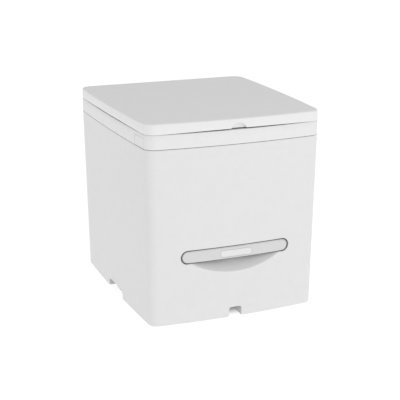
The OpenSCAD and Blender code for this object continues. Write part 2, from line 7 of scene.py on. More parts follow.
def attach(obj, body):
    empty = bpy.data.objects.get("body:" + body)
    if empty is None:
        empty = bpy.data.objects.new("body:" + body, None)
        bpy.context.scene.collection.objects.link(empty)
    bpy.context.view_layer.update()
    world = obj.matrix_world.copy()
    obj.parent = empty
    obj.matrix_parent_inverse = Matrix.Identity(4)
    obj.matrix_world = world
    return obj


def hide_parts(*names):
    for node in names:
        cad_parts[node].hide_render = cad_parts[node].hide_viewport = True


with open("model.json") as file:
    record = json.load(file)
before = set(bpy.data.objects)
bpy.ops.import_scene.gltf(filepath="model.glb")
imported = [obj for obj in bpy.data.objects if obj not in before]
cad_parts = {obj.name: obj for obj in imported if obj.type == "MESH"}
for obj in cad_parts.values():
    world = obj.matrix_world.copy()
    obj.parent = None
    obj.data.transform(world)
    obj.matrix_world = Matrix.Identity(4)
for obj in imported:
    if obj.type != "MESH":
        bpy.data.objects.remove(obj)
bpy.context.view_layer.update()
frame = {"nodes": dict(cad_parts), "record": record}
nodes = frame["nodes"]
MM = 0.001

# ---------------------------------------------------------------- camera
AZ, EL, DIST = -0.38014, 0.29842, 2.1262
cam_data = bpy.data.cameras.new("camera")
cam = bpy.data.objects.new("camera", cam_data)
bpy.context.scene.collection.objects.link(cam)
back = Vector((math.sin(AZ) * math.cos(EL), -math.cos(AZ) * math.cos(EL), math.sin(EL)))
cam.location = Vector((0.00013, 0.0, 0.18702)) + back * DIST
cam.rotation_mode = "QUATERNION"
cam.rotation_quaternion = (-back).to_track_quat("-Z", "Y")
cam_data.sensor_width = 36.0
cam_data.lens = 88.9
cam_data.shift_x = 0.0075
cam_data.clip_start, cam_data.clip_end = 0.05, 100.0
bpy.context.scene.camera = cam
bpy.context.scene.view_settings.view_transform = "Standard"

# ---------------------------------------------------------------- materials
def material(name, color, rough, grain=2600.0, bump=0.05, vary=0.03, rvary=0.06, metallic=0.0,
             spec=0.5, coat=0.0, kind="grain", color2=None, pattern=60.0, stretch=None, alpha_mix=None,
             transmission=0.0, sss=0.0):
    m = bpy.data.materials.new(name)
    m.use_nodes = True
    nt = m.node_tree
    nt.nodes.clear()
    n = lambda t, x=0: nt.nodes.new(t)
    out = n("ShaderNodeOutputMaterial")
    p = n("ShaderNodeBsdfPrincipled")
    nt.links.new(p.outputs[0], out.inputs[0])
    tc = n("ShaderNodeTexCoord")
    vec = tc.outputs["Object"]
    if stretch:
        mp = n("ShaderNodeMapping")
        mp.inputs["Scale"].default_value = stretch
        nt.links.new(vec, mp.inputs[0])
        vec = mp.outputs[0]
    big = n("ShaderNodeTexNoise")
    big.inputs["Scale"].default_value = pattern
    big.inputs["Detail"].default_value = 5.0
    big.inputs["Roughness"].default_value = 0.55
    nt.links.new(vec, big.inputs["Vector"])
    fine = n("ShaderNodeTexNoise") if kind != "granule" else n("ShaderNodeTexVoronoi")
    fine.inputs["Scale"].default_value = grain
    if kind != "granule":
        fine.inputs["Detail"].default_value = 3.0
    nt.links.new(vec, fine.inputs["Vector"])
    ramp = n("ShaderNodeValToRGB")
    c = np.array(color, float)
    lo = np.clip(c * (1 - vary), 0, 1)
    hi = np.clip(c * (1 + vary), 0, 1) if color2 is None else np.array(color2, float)
    ramp.color_ramp.elements[0].position = 0.3
    ramp.color_ramp.elements[1].position = 0.7
    ramp.color_ramp.elements[0].color = (*lo, 1)
    ramp.color_ramp.elements[1].color = (*hi, 1)
    src = fine.outputs[0] if kind == "granule" else big.outputs[0]
    nt.links.new(src, ramp.inputs[0])
    nt.links.new(ramp.outputs[0], p.inputs["Base Color"])
    rr = n("ShaderNodeMapRange")
    rr.inputs["From Min"].default_value = 0.3
    rr.inputs["From Max"].default_value = 0.7
    rr.inputs["To Min"].default_value = max(0.02, rough - rvary)
    rr.inputs["To Max"].default_value = min(1.0, rough + rvary)
    mid = n("ShaderNodeTexNoise")
    mid.inputs["Scale"].default_value = pattern * 6
    mid.inputs["Detail"].default_value = 4.0
    nt.links.new(vec, mid.inputs["Vector"])
    nt.links.new(mid.outputs[0], rr.inputs["Value"])
    nt.links.new(rr.outputs[0], p.inputs["Roughness"])
    b = n("ShaderNodeBump")
    b.inputs["Strength"].default_value = bump
    b.inputs["Distance"].default_value = 0.0003
    nt.links.new(fine.outputs[0], b.inputs["Height"])
    nt.links.new(b.outputs[0], p.inputs["Normal"])
    p.inputs["Metallic"].default_value = metallic
    p.inputs["Specular IOR Level"].default_value = spec
    p.inputs["Coat Weight"].default_value = coat
    p.inputs["Coat Roughness"].default_value = 0.12
    p.inputs["Transmission Weight"].default_value = transmission
    if sss:
        p.inputs["Subsurface Weight"].default_value = sss
        p.inputs["Subsurface Radius"].default_value = (0.004, 0.004, 0.0035)
        p.inputs["Subsurface Scale"].default_value = 1.0
    return m


M = {
    "shell_white": material("shell_white", (0.782, 0.782, 0.786), 0.44, bump=0.10, vary=0.010),
    "seat_white": material("seat_white", (0.815, 0.815, 0.818), 0.42, bump=0.08, vary=0.010),
    "lid_white": material("lid_white", (0.835, 0.835, 0.838), 0.42, bump=0.10, vary=0.010),
    "handle_grey": material("handle_grey", (0.69, 0.692, 0.697), 0.36, bump=0.06, vary=0.012),
    "inlay_white": material("inlay_white", (0.79, 0.792, 0.796), 0.16, grain=900, bump=0.02, vary=0.01, coat=0.4),
    "bowl_white": material("bowl_white", (0.88, 0.88, 0.88), 0.22, grain=500, bump=0.02, vary=0.012, coat=0.25),
    "inner_grey": material("inner_grey", (0.62, 0.63, 0.63), 0.55, bump=0.14, vary=0.03),
    "bin_grey": material("bin_grey", (0.085, 0.09, 0.095), 0.5, bump=0.18, vary=0.12),
    "bottle_natural": material("bottle_natural", (0.78, 0.81, 0.76), 0.4, grain=300, bump=0.05, vary=0.02, pattern=25, sss=0.3),
    "rubber_dark": material("rubber_dark", (0.03, 0.03, 0.031), 0.72, grain=1500, bump=0.25, vary=0.25, spec=0.3),
    "rubber_grey": material("rubber_grey", (0.13, 0.13, 0.132), 0.66, grain=1500, bump=0.18, vary=0.12, spec=0.35),
    "steel": material("steel", (0.66, 0.66, 0.67), 0.28, grain=700, bump=0.08, vary=0.05, metallic=1.0, stretch=(14, 1, 14)),
    "zinc": material("zinc", (0.58, 0.59, 0.61), 0.34, grain=900, bump=0.10, vary=0.09, metallic=1.0),
    "bracket_beige": material("bracket_beige", (0.47, 0.46, 0.40), 0.5, grain=1100, bump=0.3, vary=0.03),
    "black_plastic": material("black_plastic", (0.022, 0.022, 0.023), 0.46, bump=0.16, vary=0.2),
    "carbon": material("carbon", (0.008, 0.008, 0.008), 0.8, grain=520, bump=0.9, kind="granule", color2=(0.05, 0.05, 0.05)),
    "board_green": material("board_green", (0.012, 0.10, 0.035), 0.3, grain=240, bump=0.12, kind="granule", color2=(0.03, 0.19, 0.07), coat=0.3),
    "brass_pin": material("brass_pin", (0.72, 0.5, 0.19), 0.25, grain=900, bump=0.06, vary=0.06, metallic=1.0),
    "agitator_white": material("agitator_white", (0.72, 0.72, 0.70), 0.38, bump=0.08, vary=0.02),
}
SLOT_OF = {}
for b_ in frame["record"].get("nodes", []) if isinstance(frame["record"].get("nodes"), list) else []:
    if isinstance(b_, dict) and "name" in b_:
        SLOT_OF[b_["name"]] = b_.get("material") or b_.get("slot") or b_.get("material_slot")
RULES = [
    ("rubber_feet", "rubber_dark"), ("bin_front_seal", "rubber_dark"), ("bottle_grip", "black_plastic"), ("rim_gasket", "rubber_grey"),
    ("bottle_neck_seal", "rubber_grey"), ("spout_seal", "rubber_grey"), ("lid_seal", "rubber_grey"), ("lid_bumpers", "rubber_grey"),
    ("liquids_bottle", "bottle_natural"), ("solids_bin", "bin_grey"), ("filter_carbon", "carbon"), ("control_board", "board_green"),
    ("dc_contact_pin", "brass_pin"), ("dc_inlet_nut", "zinc"), ("dc_inlet", "black_plastic"), ("floor_bracket", "bracket_beige"),
    ("bracket_thumbscrews", "zinc"), ("screw", "zinc"), ("hinge_pins", "steel"), ("latch_keepers", "steel"), ("latch_springs", "steel"),
    ("drive_sleeve", "steel"), ("handle_shaft", "steel"), ("agitator_shaft", "steel"), ("sleeve_retaining_ring", "black_plastic"),
    ("coupling", "black_plastic"), ("drive_bushing", "black_plastic"), ("fan_", "black_plastic"), ("agitator_paddles", "agitator_white"),
    ("bin_rear_bearing", "black_plastic"), ("filter_case", "inner_grey"), ("vent_port", "inner_grey"), ("handle_inlay", "inlay_white"),
    ("handle_bar", "handle_grey"), ("diverter_bowl", "bowl_white"), ("seat_underside", "inner_grey"), ("lid_liner", "inner_grey"),
    ("base_pan", "inner_grey"), ("pocket_liners", "inner_grey"), ("hand_recess_cup", "shell_white"), ("housing_", "shell_white"),
    ("seat_frame", "seat_white"), ("latch_", "seat_white"), ("lid_shell", "lid_white"),
]
def slot_for(name):
    for key, s in RULES:
        if key in name:
            return s
    return "inner_grey"
for name, o in nodes.items():
    m = M[slot_for(name)]
    o.data.materials.clear()
    o.data.materials.append(m)
    for poly in o.data.polygons:
        poly.material_index = 0

# ---------------------------------------------------------------- outlines (mm)
TOP_A, TOP_B, FOOT_A, FOOT_B, TOP_R, FOOT_R = 192.27, 214.2, 186.57, 209.6, 23.8, 18.5
SIDE_BOW, FRONT_BOW, TAPER = 4.2, 8.4, 0.03
NB, NC, NS, NF = 24, 28, 48, 72
def bow(t): return 1 - (2 * t - 1) ** 2
def plan(a, b, r):
    """Closed outline from the middle of the back, anticlockwise seen from above; last point = first."""
    ai, f, g = a - SIDE_BOW - r, b - FRONT_BOW - r, b - r
    xf, xb = ai * (1 - TAPER), ai * (1 + TAPER)
    e = math.atan2(xb - xf, f + g)
    ds, df = math.atan(4 * SIDE_BOW / (f + g)), math.atan(2 * FRONT_BOW / xf)
    hp = math.pi / 2
    P = []
    P += [(x, g + r) for x in np.linspace(0, -xb, NB + 1)[:-1]]
    P += [(-xb + r * math.cos(q), g + r * math.sin(q)) for q in np.linspace(hp, 2 * hp + e - ds, NC + 1)]
    for t in np.linspace(0, 1, NS + 1)[1:-1]:
        k = r + SIDE_BOW * bow(t)
        P.append((-(xb + (xf - xb) * t) - math.cos(e) * k, g + (-f - g) * t - math.sin(e) * k))
    P += [(-xf + r * math.cos(q), -f + r * math.sin(q)) for q in np.linspace(2 * hp + e + ds, 3 * hp - df, NC + 1)]
    P += [(-xf + 2 * xf * t, -f - r - FRONT_BOW * bow(t)) for t in np.linspace(0, 1, NF + 1)[1:-1]]
    P += [(xf + r * math.cos(q), -f + r * math.sin(q)) for q in np.linspace(3 * hp + df, 4 * hp - e - ds, NC + 1)]
    for t in np.linspace(0, 1, NS + 1)[1:-1]:
        k = r + SIDE_BOW * bow(t)
        P.append((xf + (xb - xf) * t + math.cos(e) * k, -f + (g + f) * t - math.sin(e) * k))
    P += [(xb + r * math.cos(q), g + r * math.sin(q)) for q in np.linspace(-e + ds, hp, NC + 1)]
    P += [(x, g + r) for x in np.linspace(xb, 0, NB + 1)[1:]]
    return np.array(P)
def body_at(z, o=0.0):
    t = z / 360.0
    mx = lambda p, q: p + (q - p) * t
    return plan(mx(FOOT_A, TOP_A) - o, mx(FOOT_B, TOP_B) - o, mx(FOOT_R, TOP_R) - o)
def cap(o): return plan(TOP_A - o, TOP_B - o, TOP_R - o)

class Skin:
    """A wall surface addressed by u (mm along the outline), z and depth below the outside."""
    def __init__(s, low, high, z0, z1):
        s.F, s.T, s.z0, s.z1 = low, high, z0, z1
        seg = np.linalg.norm(np.diff(high, axis=0), axis=1)
        s.us = np.concatenate([[0], np.cumsum(seg)])
        s.U = s.us[-1]
    def flat(s, u, z):
        t = (z - s.z0) / (s.z1 - s.z0)
        fx, fy = np.interp(u, s.us, s.F[:, 0]), np.interp(u, s.us, s.F[:, 1])
        tx, ty = np.interp(u, s.us, s.T[:, 0]), np.interp(u, s.us, s.T[:, 1])
        return np.stack([fx + (tx - fx) * t, fy + (ty - fy) * t, z], -1), np.stack([(tx - fx) / (s.z1 - s.z0), (ty - fy) / (s.z1 - s.z0), np.ones_like(t)], -1)
    def at(s, u, z, d):
        u, z, d = np.broadcast_arrays(*(np.asarray(q, float) for q in (u, z, d)))
        p, dz = s.flat(u, z)
        h = 0.9
        a = s.flat(np.mod(u + h, s.U), z)[0]
        b = s.flat(np.mod(u - h, s.U), z)[0]
        du = a - b
        n = np.cross(du, dz)
        n /= np.linalg.norm(n, axis=-1, keepdims=True)
        return p - n * d[..., None]
    def u_of(s, z, axis, value, lo, hi):
        """u between lo and hi where coordinate axis has that value at height z."""
        k = (s.us >= lo) & (s.us <= hi)
        t = (z - s.z0) / (s.z1 - s.z0)
        c = s.F[k, axis] + (s.T[k, axis] - s.F[k, axis]) * t
        u = s.us[k]
        if c[0] > c[-1]:
            c, u = c[::-1], u[::-1]
        return float(np.interp(value, c, u))

class Mesh:
    def __init__(s): s.v, s.f = [], []
    def add(s, pts):
        i0 = len(s.v)
        s.v += [tuple(float(c) for c in p) for p in pts]
        return list(range(i0, i0 + len(pts)))
    def strip(s, a, b, closed=True):
        n = len(a)
        for i in range(n if closed else n - 1):
            j = (i + 1) % n
            s.f.append((a[i], a[j], b[j], b[i]))
    def fill(s, loops, coords, extra=(), extra_ids=()):
        """Triangles between closed loops of vertex ids; coords are each loop's 2-D points."""
        pts = np.concatenate([*coords] + ([np.asarray(extra, float)] if len(extra) else []))
        ids = [i for l in loops for i in l] + list(extra_ids)
        edges, k = [], 0
        for l in loops:
            edges += [(k + i, k + (i + 1) % len(l)) for i in range(len(l))]
            k += len(l)
        vo, _, fo, orig, _, _ = delaunay_2d_cdt([Vector(p) for p in pts], edges, [], 0, 1e-7, True)
        tri = np.array([f for f in fo if len(f) == 3])
        P = np.array([(v[0], v[1]) for v in vo])
        c = P[tri].mean(1)
        E0 = np.concatenate([q for q in coords])
        E1 = np.concatenate([np.roll(q, -1, axis=0) for q in coords])
        inside = np.zeros(len(c), bool)
        for s0 in range(0, len(c), 4000):
            q = c[s0:s0 + 4000]
            y0, y1 = E0[None, :, 1], E1[None, :, 1]
            cross = (y0 > q[:, None, 1]) != (y1 > q[:, None, 1])
            with np.errstate(divide="ignore", invalid="ignore"):
                xi = E0[None, :, 0] + (q[:, None, 1] - y0) * (E1[None, :, 0] - E0[None, :, 0]) / (y1 - y0)
            inside[s0:s0 + 4000] = (np.sum(cross & (xi > q[:, None, 0]), axis=1) % 2) == 1
        for t, keep in zip(tri, inside):
            if keep and all(len(orig[i]) for i in t):
                s.f.append(tuple(ids[orig[i][0]] for i in t))

def finish_mesh(name, parts, body, slot_name, replaced=(), angle=34.0, weld=0.0008):
    """parts: (Mesh, closed?) in mm; closed ones get outward faces."""
    me = bpy.data.meshes.new(name)
    bm = bmesh.new()
    for part, closed in parts:
        if not part.f:
            continue
        b2 = bmesh.new()
        vs = [b2.verts.new(Vector(p) * MM) for p in part.v]
        for f in part.f:
            if len(set(f)) >= 3:
                try:
                    b2.faces.new([vs[i] for i in dict.fromkeys(f)])
                except ValueError:
                    pass
        bmesh.ops.remove_doubles(b2, verts=b2.verts[:], dist=weld * MM)
        bmesh.ops.dissolve_degenerate(b2, dist=1e-7, edges=b2.edges[:])
        loose = [v for v in b2.verts if not v.link_faces]
        bmesh.ops.delete(b2, geom=loose, context="VERTS")
        if closed:
            bmesh.ops.recalc_face_normals(b2, faces=b2.faces[:])
        tmp = bpy.data.meshes.new("tmp")
        b2.to_mesh(tmp)
        b2.free()
        bm.from_mesh(tmp)
        bpy.data.meshes.remove(tmp)
    bm.to_mesh(me)
    bm.free()
    for p in me.polygons:
        p.use_smooth = True
    me.set_sharp_from_angle(angle=math.radians(angle))
    o = bpy.data.objects.new(name, me)
    bpy.context.scene.collection.objects.link(o)
    me.materials.append(M[slot_name])
    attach(o, body)
    if replaced:
        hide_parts(*replaced)
    return o

def cad_triangles(node):
    me = nodes[node].data
    co = np.zeros(len(me.vertices) * 3, np.float32)
    me.vertices.foreach_get("co", co)
    me.calc_loop_triangles()
    t = np.zeros(len(me.loop_triangles) * 3, np.int32)
    me.loop_triangles.foreach_get("vertices", t)
    return co.reshape(-1, 3).astype(float) / MM, t.reshape(-1, 3)

def cad_rest(node, keep):
    """The inner features of a CAD node, as an open part of the new piece."""
    v, t = cad_triangles(node)
    k = keep(v, t)
    used, inv = np.unique(t[k], return_inverse=True)
    part = Mesh()
    part.add(v[used])
    part.f = [tuple(int(i) for i in f) for f in inv.reshape(-1, 3)]
    return part

def depth_in(outline, xy):
    """Distance inside a closed outline, for points near or inside it."""
    a, b = outline[:-1], outline[1:]
    out = np.zeros(len(xy))
    ab = b - a
    L = np.maximum((ab ** 2).sum(1), 1e-12)
    for i in range(0, len(xy), 2000):
        q = xy[i:i + 2000]
        w = q[:, None] - a[None]
        s = np.clip((w * ab).sum(2) / L, 0, 1)
        out[i:i + 2000] = np.sqrt(((w - s[..., None] * ab) ** 2).sum(2)).min(1)
    return out

def round_chain(pts, step=3.0, arc=7):
    """Open chain of (u, z, radius) with rounded corners -> points and left-hand normals."""
    P, N = [], []
    n = len(pts)
    V = [np.array(p[:2], float) for p in pts]
    dirs = [(V[i + 1] - V[i]) / np.linalg.norm(V[i + 1] - V[i]) for i in range(n - 1)]
    left = lambda d: np.array([-d[1], d[0]])
    start = V[0]
    for i in range(n - 1):
        end, cut = V[i + 1], 0.0
        if i < n - 2 and pts[i + 1][2] > 0:
            turn = math.atan2(dirs[i][0] * dirs[i + 1][1] - dirs[i][1] * dirs[i + 1][0], dirs[i] @ dirs[i + 1])
            cut = pts[i + 1][2] * math.tan(abs(turn) / 2)
        e2 = end - dirs[i] * cut
        m = max(1, int(np.linalg.norm(e2 - start) / step))
        for k in range(m + 1):
            if i and k == 0:
                continue
            P.append(start + (e2 - start) * k / m)
            N.append(left(dirs[i]))
        if i < n - 2:
            r = pts[i + 1][2]
            sg = 1 if turn > 0 else -1
            c = e2 + left(dirs[i]) * r * sg
            for k in range(1, arc + 1):
                q = turn * k / arc
                nn = np.array([left(dirs[i])[0] * math.cos(q) - left(dirs[i])[1] * math.sin(q), left(dirs[i])[0] * math.sin(q) + left(dirs[i])[1] * math.cos(q)])
                P.append(c - nn * r * sg)
                N.append(nn)
            start = P[-1]
    return np.array(P), np.array(N)

# ---------------------------------------------------------------- housing
Z0, Z1, WALL = 1.5, 359.5, 3.0
body = Skin(body_at(Z0), body_at(Z1), Z0, Z1)
seg_i = np.cumsum([0, NB, NC, NS, NC, NF, NC, NS, NC, NB])
seg_u = body.us[np.minimum(seg_i, len(body.us) - 1)]
FRONT = (seg_u[4], seg_u[5])
LEFT, RIGHT = (seg_u[2], seg_u[3]), (seg_u[6], seg_u[7])

def grid_u(k=1.0):
    steps = [9, 2.3, 7, 2.3, 6, 2.3, 7, 2.3, 9]
    g = []
    for i in range(9):
        m = max(2, int(round((seg_u[i + 1] - seg_u[i]) / steps[i] / k)))
        g += list(np.linspace(seg_u[i], seg_u[i + 1], m + 1)[:-1])
    return np.array(g[1:])

# front recess outline: slot for the bar and the round dish under it
DZ, HL, HH, RD = 140.2, 115.9, 14.2, 250.0
def front_y(x, z):
    u = body.u_of(z, 0, x, *FRONT)
    return float(body.flat(np.array([u]), np.array([z]))[0][0, 1])
def dish_z(x):
    z = 105.0
    for _ in range(12):
        y = front_y(x, z)
        z = 300.5 - math.sqrt(RD ** 2 - x * x - (y + 360) ** 2)
    return z
xs_d = np.linspace(-104, 104, 209)
zs_d = np.array([dish_z(x) for x in xs_d])
xj = float(np.interp(0, (zs_d[104:] - (DZ - HH)), xs_d[104:]))
C, CN, TH = [], [], []
for q in np.linspace(-90, 90, 25):
    a = math.radians(q)
    C.append((HL - HH + HH * math.cos(a), DZ + HH * math.sin(a))); CN.append((math.cos(a), math.sin(a))); TH.append(90)
for x in np.linspace(HL - HH, -HL + HH, 71)[1:-1]:
    C.append((x, DZ + HH)); CN.append((0, 1)); TH.append(90)
for q in np.linspace(90, 270, 25):
    a = math.radians(q)
    C.append((-HL + HH + HH * math.cos(a), DZ + HH * math.sin(a))); CN.append((math.cos(a), math.sin(a))); TH.append(90)
arc_x = np.linspace(-xj, xj, 101)
for x in arc_x:
    z = float(np.interp(x, xs_d, zs_d))
    s = float(np.interp(x, xs_d[:-1] + 0.5, np.diff(zs_d)))
    nn = np.array([s, -1.0]) / math.hypot(s, 1)
    C.append((x, z)); CN.append(tuple(nn)); TH.append(54)
C, CN, TH = np.array(C), np.array(CN), np.array(TH, float)
for _ in range(2):
    CN = CN + 0.5 * (np.roll(CN, 1, 0) + np.roll(CN, -1, 0))
    CN /= np.linalg.norm(CN, axis=1, keepdims=True)
    TH = (TH + 0.5 * (np.roll(TH, 1) + np.roll(TH, -1))) / 2
def lip_rings(theta_deg, r, wall=WALL, support=0.9, k=4):
    th = np.radians(theta_deg)
    rings = [(r * np.tan(th / 2) + support, 0 * th)]
    for i in range(k + 1):
        ph = th * i / k
        rings.append((r * np.tan(th / 2) - r * np.sin(ph), r * (1 - np.cos(ph))))
    o, d = rings[-1]
    rings.append((o - (wall - d) / np.tan(th) * (np.abs(th - np.pi / 2) > 0.02), wall + 0 * th))
    return rings

shell = Mesh()
holes_out, holes_in = [], []        # (ids, uz) loops on the outer and inner skins
def hole_xz(C, CN, rings, lo, hi):
    ids, uzs = [], []
    for o, d in rings:
        q = C + CN * np.asarray(o)[..., None] if np.ndim(o) else C + CN * o
        u = np.array([body.u_of(z, 0, x, lo, hi) for x, z in q])
        ids.append(shell.add(body.at(u, q[:, 1], d)))
        uzs.append(np.stack([u, q[:, 1]], 1))
    for a, b in zip(ids, ids[1:]):
        shell.strip(a, b)
    holes_out.append((ids[0], uzs[0]))
    holes_in.append((ids[-1], uzs[-1]))
hole_xz(C, CN, lip_rings(TH, 1.5), *FRONT)
def circle(x, z, r, n=64):
    q = np.linspace(0, 2 * np.pi, n, endpoint=False)
    nn = np.stack([np.cos(q), np.sin(q)], 1)
    return np.array([x, z]) + nn * r, nn
for x, r0, r1, rng in ((90, 34.3, 28.3, (seg_u[8] - 5, body.U)), (-90, 9.3, 6.3, (0, seg_u[1] + 5))):
    c, nn = circle(x, 215, r0)
    hole_xz(c, nn, [(1.2, 0.0), (0.4, 0.0), (0.12, 0.12), (0.0, 0.4), (0.0, 1.05), (r1 - r0, 1.05), (r1 - r0, WALL)], *rng)

# lower edge with its three notches
yl = lambda y, rng: body.u_of(Z0, 1, y, *rng)
xf_ = lambda x: body.u_of(Z0, 0, x, *FRONT)
chain = [(0, Z0, 0),
         (yl(46, LEFT), Z0, 4), (yl(46, LEFT), 20, 9), (yl(-42, LEFT), 20, 9), (yl(-42, LEFT), Z0, 4),
         (xf_(-13.4), Z0, 5), (xf_(-13.4), 22.4, 5), (xf_(13.4), 22.4, 5), (xf_(13.4), Z0, 4),
         (yl(-42, RIGHT), Z0, 4), (yl(-42, RIGHT), 20, 9), (yl(46, RIGHT), 20, 9), (yl(46, RIGHT), Z0, 4),
         (body.U, Z0, 0)]
BP, BN = round_chain(chain)
low_ids, low_uz = [], []
for o, d in lip_rings(np.full(len(BP), 90.0), 2.0):
    q = BP + BN * o[:, None]
    q[0, 0], q[-1, 0] = 0.0, body.U
    low_ids.append(shell.add(body.at(q[:, 0], q[:, 1], d)))
    low_uz.append(q)
for a, b in zip(low_ids, low_ids[1:]):
    shell.strip(a, b, closed=False)

# upper edge: level rim, falling to the hinge bevel along the back
TU = np.concatenate([[0.0], grid_u(0.7), [body.U]])
def bevel_top(d, extra=0.0):
    z = np.full(len(TU), Z1)
    for _ in range(6):
        y = body.at(TU, z, d)[:, 1]
        z = np.minimum(Z1, 359.62 - (y - 207.5) * 1.1917)
    x = np.abs(body.at(TU, z, d)[:, 0])
    y = body.at(TU, z, d)[:, 1]
    room = (x > 93.5) & (x < 126.5) & (y > 200)
    return z - np.where(room, extra, 0)
zt0, zt3 = bevel_top(0.0), bevel_top(WALL, 1.9)
is_bev = np.clip((Z1 - zt0) / 2.0, 0, 1)
top_ids, top_uz = [], []
for o, d, ob, db in ((1.6, 0, 1.6, 0), (0.7, 0, 0.7, 0), (0.2, 0.2, 0.2, 0.03), (0.0, 0.7, -0.3, 0.25)):
    z = zt0 - (o + (ob - o) * is_bev)
    top_ids.append(shell.add(body.at(TU, z, d + (db - d) * is_bev)))
    top_uz.append(np.stack([TU, z], 1))
top_ids.append(shell.add(body.at(TU, zt3, WALL)))
top_uz.append(np.stack([TU, zt3], 1))
for a, b in zip(top_ids, top_ids[1:]):
    shell.strip(a, b, closed=False)

def skin_fill(low, top, lowz, topz, holes, depth, zstep, k):
    zs = np.arange(8, 350, zstep)
    side_z = [z for z in zs if z > lowz[0, 1] + 1 and z < topz[0, 1] - 1]
    r_ids = shell.add(body.at(np.full(len(side_z), body.U - 1e-6), np.array(side_z), depth))
    l_ids = shell.add(body.at(np.zeros(len(side_z)), np.array(side_z), depth))
    outer = low + r_ids + top[::-1] + l_ids[::-1]
    sz = np.array(side_z)
    ouz = np.concatenate([lowz, np.stack([np.full(len(sz), body.U), sz], 1), topz[::-1], np.stack([np.zeros(len(sz)), sz[::-1]], 1)])
    gu, gz = np.meshgrid(grid_u(k), zs)
    g = np.stack([gu.ravel(), gz.ravel()], 1)
    allc = np.concatenate([ouz] + [h[1] for h in holes])
    near = np.zeros(len(g), bool)
    for i in range(0, len(g), 2000):
        d2 = ((g[i:i + 2000, None] - allc[None]) ** 2).sum(2)
        near[i:i + 2000] = d2.min(1) < 2.0 ** 2
    g = g[~near]
    gids = shell.add(body.at(g[:, 0], g[:, 1], depth))
    shell.fill([outer] + [h[0] for h in holes], [ouz] + [h[1] for h in holes], g, gids)
skin_fill(low_ids[0], top_ids[0], low_uz[0], top_uz[0], holes_out, 0.0, 8.0, 1.0)
skin_fill(low_ids[-1], top_ids[-1], low_uz[-1], top_uz[-1], holes_in, WALL, 14.0, 2.0)

PANELS = ["housing_front", "housing_sides", "housing_back"]
def body_depth(v):
    t = (v[:, 2] - Z0) / (Z1 - Z0)
    out = np.zeros(len(v))
    zk = np.round(v[:, 2], 1)
    for z in np.unique(zk):
        k = zk == z
        tt = (z - Z0) / (Z1 - Z0)
        out[k] = depth_in(body.F + (body.T - body.F) * tt, v[k][:, :2])
    return out
def keep_body(v, t):
    d = body_depth(v)[t]
    p = v[t]
    inner = d.max(1) > 3.12
    zone = ((np.abs(p[:, :, 0]) > 78) & (np.abs(p[:, :, 0]) < 142) & (p[:, :, 1] > 195) & (p[:, :, 2] > 345)).all(1)
    on_bevel = (np.abs(p[:, :, 2] - (359.62 - (p[:, :, 1] - 207.5) * 1.1917)) < 0.06).all(1) & (d.max(1) < 3.2)
    on_skin = (d < 0.15).all(1) & (p[:, :, 2] < 352.6).all(1)
    on_inner = (np.abs(d - 3) < 0.12).all(1)
    return (inner | (zone & ~on_inner)) & ~on_bevel & ~on_skin
finish_mesh("housing_shell", [(shell, True)] + [(cad_rest(n_, keep_body), False) for n_ in PANELS], "housing", "shell_white", PANELS)

# ---------------------------------------------------------------- helpers for the seat band and lid
def smooth(t):
    t = np.clip(t, 0, 1)
    return t * t * (3 - 2 * t)
capskin = Skin(cap(0.0), cap(0.0), 350.0, 410.0)
cap_seg = capskin.us[np.minimum(seg_i, len(capskin.us) - 1)]
def cap_u(k):
    steps = [9, 2.3, 7, 2.3, 6, 2.3, 7, 2.3, 9]
    g = []
    for i in range(9):
        m = max(2, int(round((cap_seg[i + 1] - cap_seg[i]) / steps[i] / k)))
        g += list(np.linspace(cap_seg[i], cap_seg[i + 1], m + 1)[:-1])
    return np.array(g)
CU = cap_u(0.7)
base0 = capskin.at(CU, 370.0, 0.0)
base1 = capskin.at(CU, 370.0, 1.0)
CY, CX = base0[:, 1], base0[:, 0]
CNY = np.maximum(base0[:, 1] - base1[:, 1], 0.3)
t_front = (CU - cap_seg[4]) / (cap_seg[5] - cap_seg[4])
t_left = (CU - cap_seg[2]) / (cap_seg[3] - cap_seg[2])
t_right = (CU - cap_seg[6]) / (cap_seg[7] - cap_seg[6])
inside01 = lambda t: np.where((t >= 0) & (t <= 1), bow(t), 0.0)
def box_cut(x0, x1, y0, y1, z0, z1):
    m = Mesh()
    a = m.add([(x0, y0, z0), (x1, y0, z0), (x1, y1, z0), (x0, y1, z0)])
    b = m.add([(x0, y0, z1), (x1, y0, z1), (x1, y1, z1), (x0, y1, z1)])
    m.strip(a, b)
    m.f += [tuple(a[::-1]), tuple(b)]
    return m
def tube_x(r, x0, x1, y, z, bore=0.0, n=40, lip=0.0):
    """Barrel along X with rounded ends and, if bore, a hole through it."""
    m = Mesh()
    q = np.linspace(0, 2 * np.pi, n, endpoint=False)
    ring = lambda rr, x: m.add(np.stack([np.full(n, x), y + rr * np.cos(q), z + rr * np.sin(q)], 1))
    prof = [(r - lip, x0), (r, x0 + lip), (r, x1 - lip), (r - lip, x1)] if lip else [(r, x0), (r, x1)]
    ids = [ring(*p) for p in prof]
    if bore:
        ids += [ring(bore, x1), ring(bore, x0)]
    for a, b in zip(ids, ids[1:]):
        m.strip(a, b)
    if bore:
        m.strip(ids[-1], ids[0])
    else:
        m.f += [tuple(ids[0][::-1]), tuple(ids[-1])]
    return m
def tube_y(r, y0, y1, x, z, n=96):
    m = tube_x(r, y0, y1, x, z, n=n)
    m.v = [(p[1], p[0], p[2]) for p in m.v]
    return m
